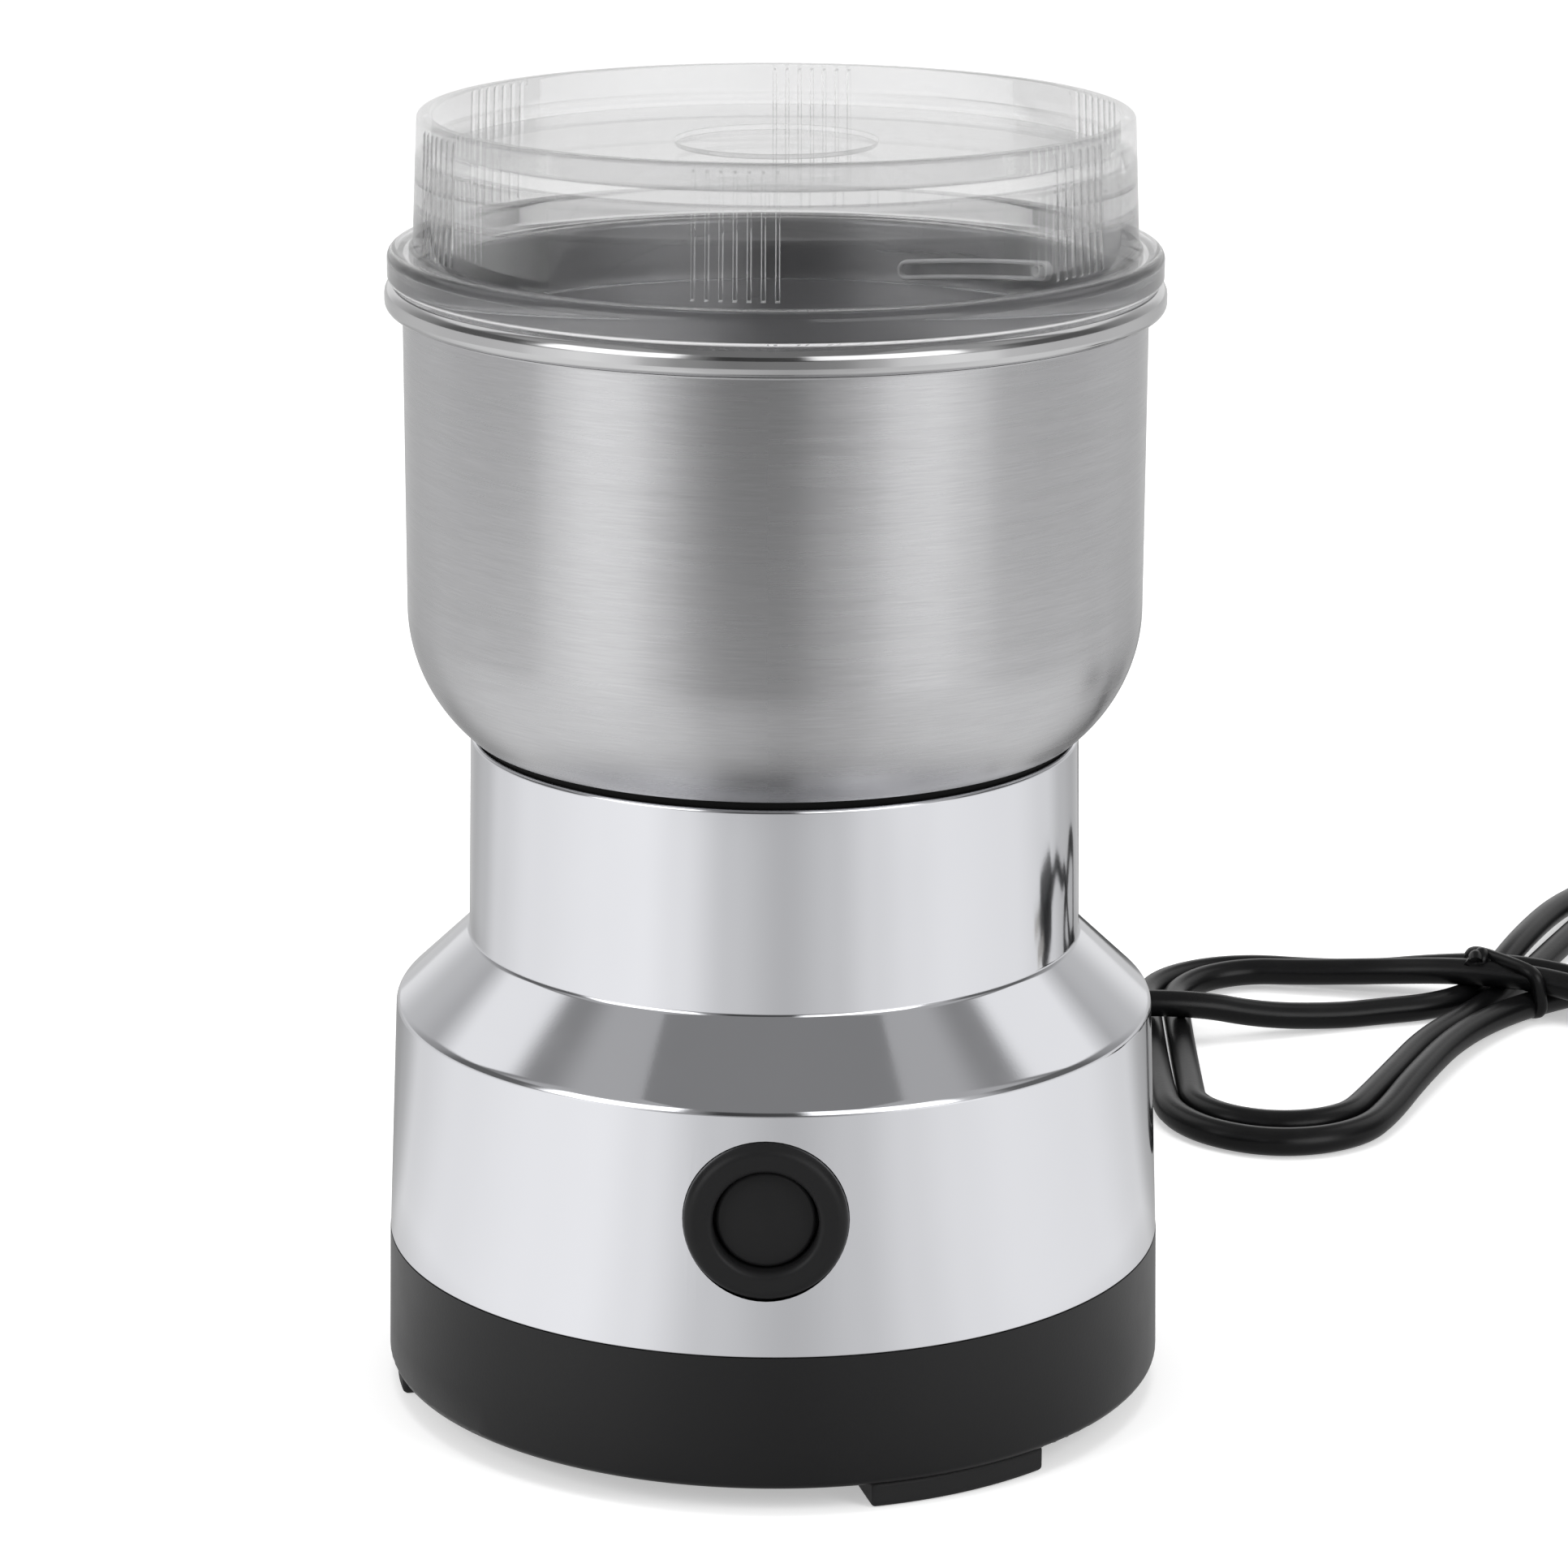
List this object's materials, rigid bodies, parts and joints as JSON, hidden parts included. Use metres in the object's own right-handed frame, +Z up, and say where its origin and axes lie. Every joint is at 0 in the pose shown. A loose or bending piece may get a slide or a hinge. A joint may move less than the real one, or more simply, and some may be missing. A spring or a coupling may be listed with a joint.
{
  "type": "electric spice grinder",
  "caption": "Small electric spice grinder with a clear lift-off lid, a brushed steel bowl, a silver body with a black push button, and a black base with a mains lead in a hank.",
  "frame": {"origin": "on the surface that the feet stand on, at the axis of the motor shaft and bowl", "axes": "+Z up along the shaft, -Y out of the push button, +Y out of the mains lead's gland"},
  "size_m": [0.2815, 0.2837, 0.1712],
  "materials": {
    "silver_plate": "polished silver plating, slightly hazy",
    "bowl_steel": "brushed around the axis, bead polished",
    "clear_plastic": "clear moulded plastic, gloss",
    "black_plastic": "black, light satin gloss",
    "black_rubber": "matt black rubber",
    "cord_sheath": "black flexible sheath, satin",
    "spring_steel": "bright steel",
    "screw_steel": "zinc plated steel",
    "copper": "copper, enamelled",
    "lamination_steel": "stacked steel sheets, dull",
    "bracket_steel": "pressed zinc plated sheet",
    "bearing_bronze": "sintered bronze",
    "carbon": "dull grey-black carbon",
    "nylon": "off-white moulded nylon",
    "blue_film": "blue box capacitor case",
    "wire_sheath": "coloured wire insulation",
    "plug_pin": "nickel plated brass pins"
  },
  "bodies": {
    "body": {"feet": "black_rubber", "base_cover": "black_plastic", "base_screws": "screw_steel", "suppressor": "blue_film", "housing": "silver_plate", "bowl_gasket": "black_rubber", "bowl": "bowl_steel", "bowl_screws": "screw_steel", "shaft_seal": "black_rubber", "upper_bearing": "bearing_bronze", "lower_bearing": "bearing_bronze", "stator_core": "lamination_steel", "field_coil_left": "copper", "field_coil_right": "copper", "upper_bracket": "bracket_steel", "lower_bracket": "bracket_steel", "bracket_screws": "screw_steel", "motor_mounts": "black_rubber", "brush_holder_left": "nylon", "brush_holder_right": "nylon", "carbon_brush_left": "carbon", "carbon_brush_right": "carbon", "brush_spring_left": "spring_steel", "brush_spring_right": "spring_steel", "brush_cap_left": "bracket_steel", "brush_cap_right": "bracket_steel", "button_bezel": "black_plastic", "button_spring": "spring_steel", "switch_bracket": "black_plastic", "switch_screws": "screw_steel", "switch_pins": "screw_steel", "power_switch": "black_plastic", "switch_terminals": "bearing_bronze", "cord_gland": "black_rubber", "cord_tail": "cord_sheath", "cord_clamp": "black_plastic", "clamp_screws": "screw_steel", "lead_wires": "wire_sheath", "power_cord": "cord_sheath", "cord_hank": "cord_sheath", "cord_tie": "black_plastic", "plug_body": "cord_sheath", "plug_pins": "plug_pin"},
    "lid": {"lid": "clear_plastic"},
    "rotor": {"motor_shaft": "screw_steel", "armature_core": "lamination_steel", "armature_winding": "copper", "commutator": "copper", "cooling_fan": "nylon", "blade": "spring_steel", "blade_collar": "nylon", "blade_nut": "screw_steel"},
    "button": {"button_cap": "black_plastic"},
    "plunger": {"switch_plunger": "nylon"}
  },
  "joints": [
    {"name": "lid_lift", "type": "slide", "parent": "body", "child": "lid", "axis": [0, 0, 1], "range_m": [0, 0.08]},
    {"name": "blade_spin", "type": "hinge", "parent": "body", "child": "rotor", "pos_m": [0, 0, 0], "axis": [0, 0, 1], "continuous": true},
    {"name": "button_press", "type": "slide", "parent": "body", "child": "button", "axis": [0, 1, 0], "range_m": [0, 0.002], "stiffness_N_per_m": 600, "springref_m": -0.002, "deforming": ["button_spring"]},
    {"name": "plunger_travel", "type": "slide", "parent": "body", "child": "plunger", "axis": [0, 1, 0], "range_m": [0, 0.002]}
  ],
  "couplings": [
    {"joint": "plunger_travel", "follows": "button_press", "ratio": 1}
  ]
}
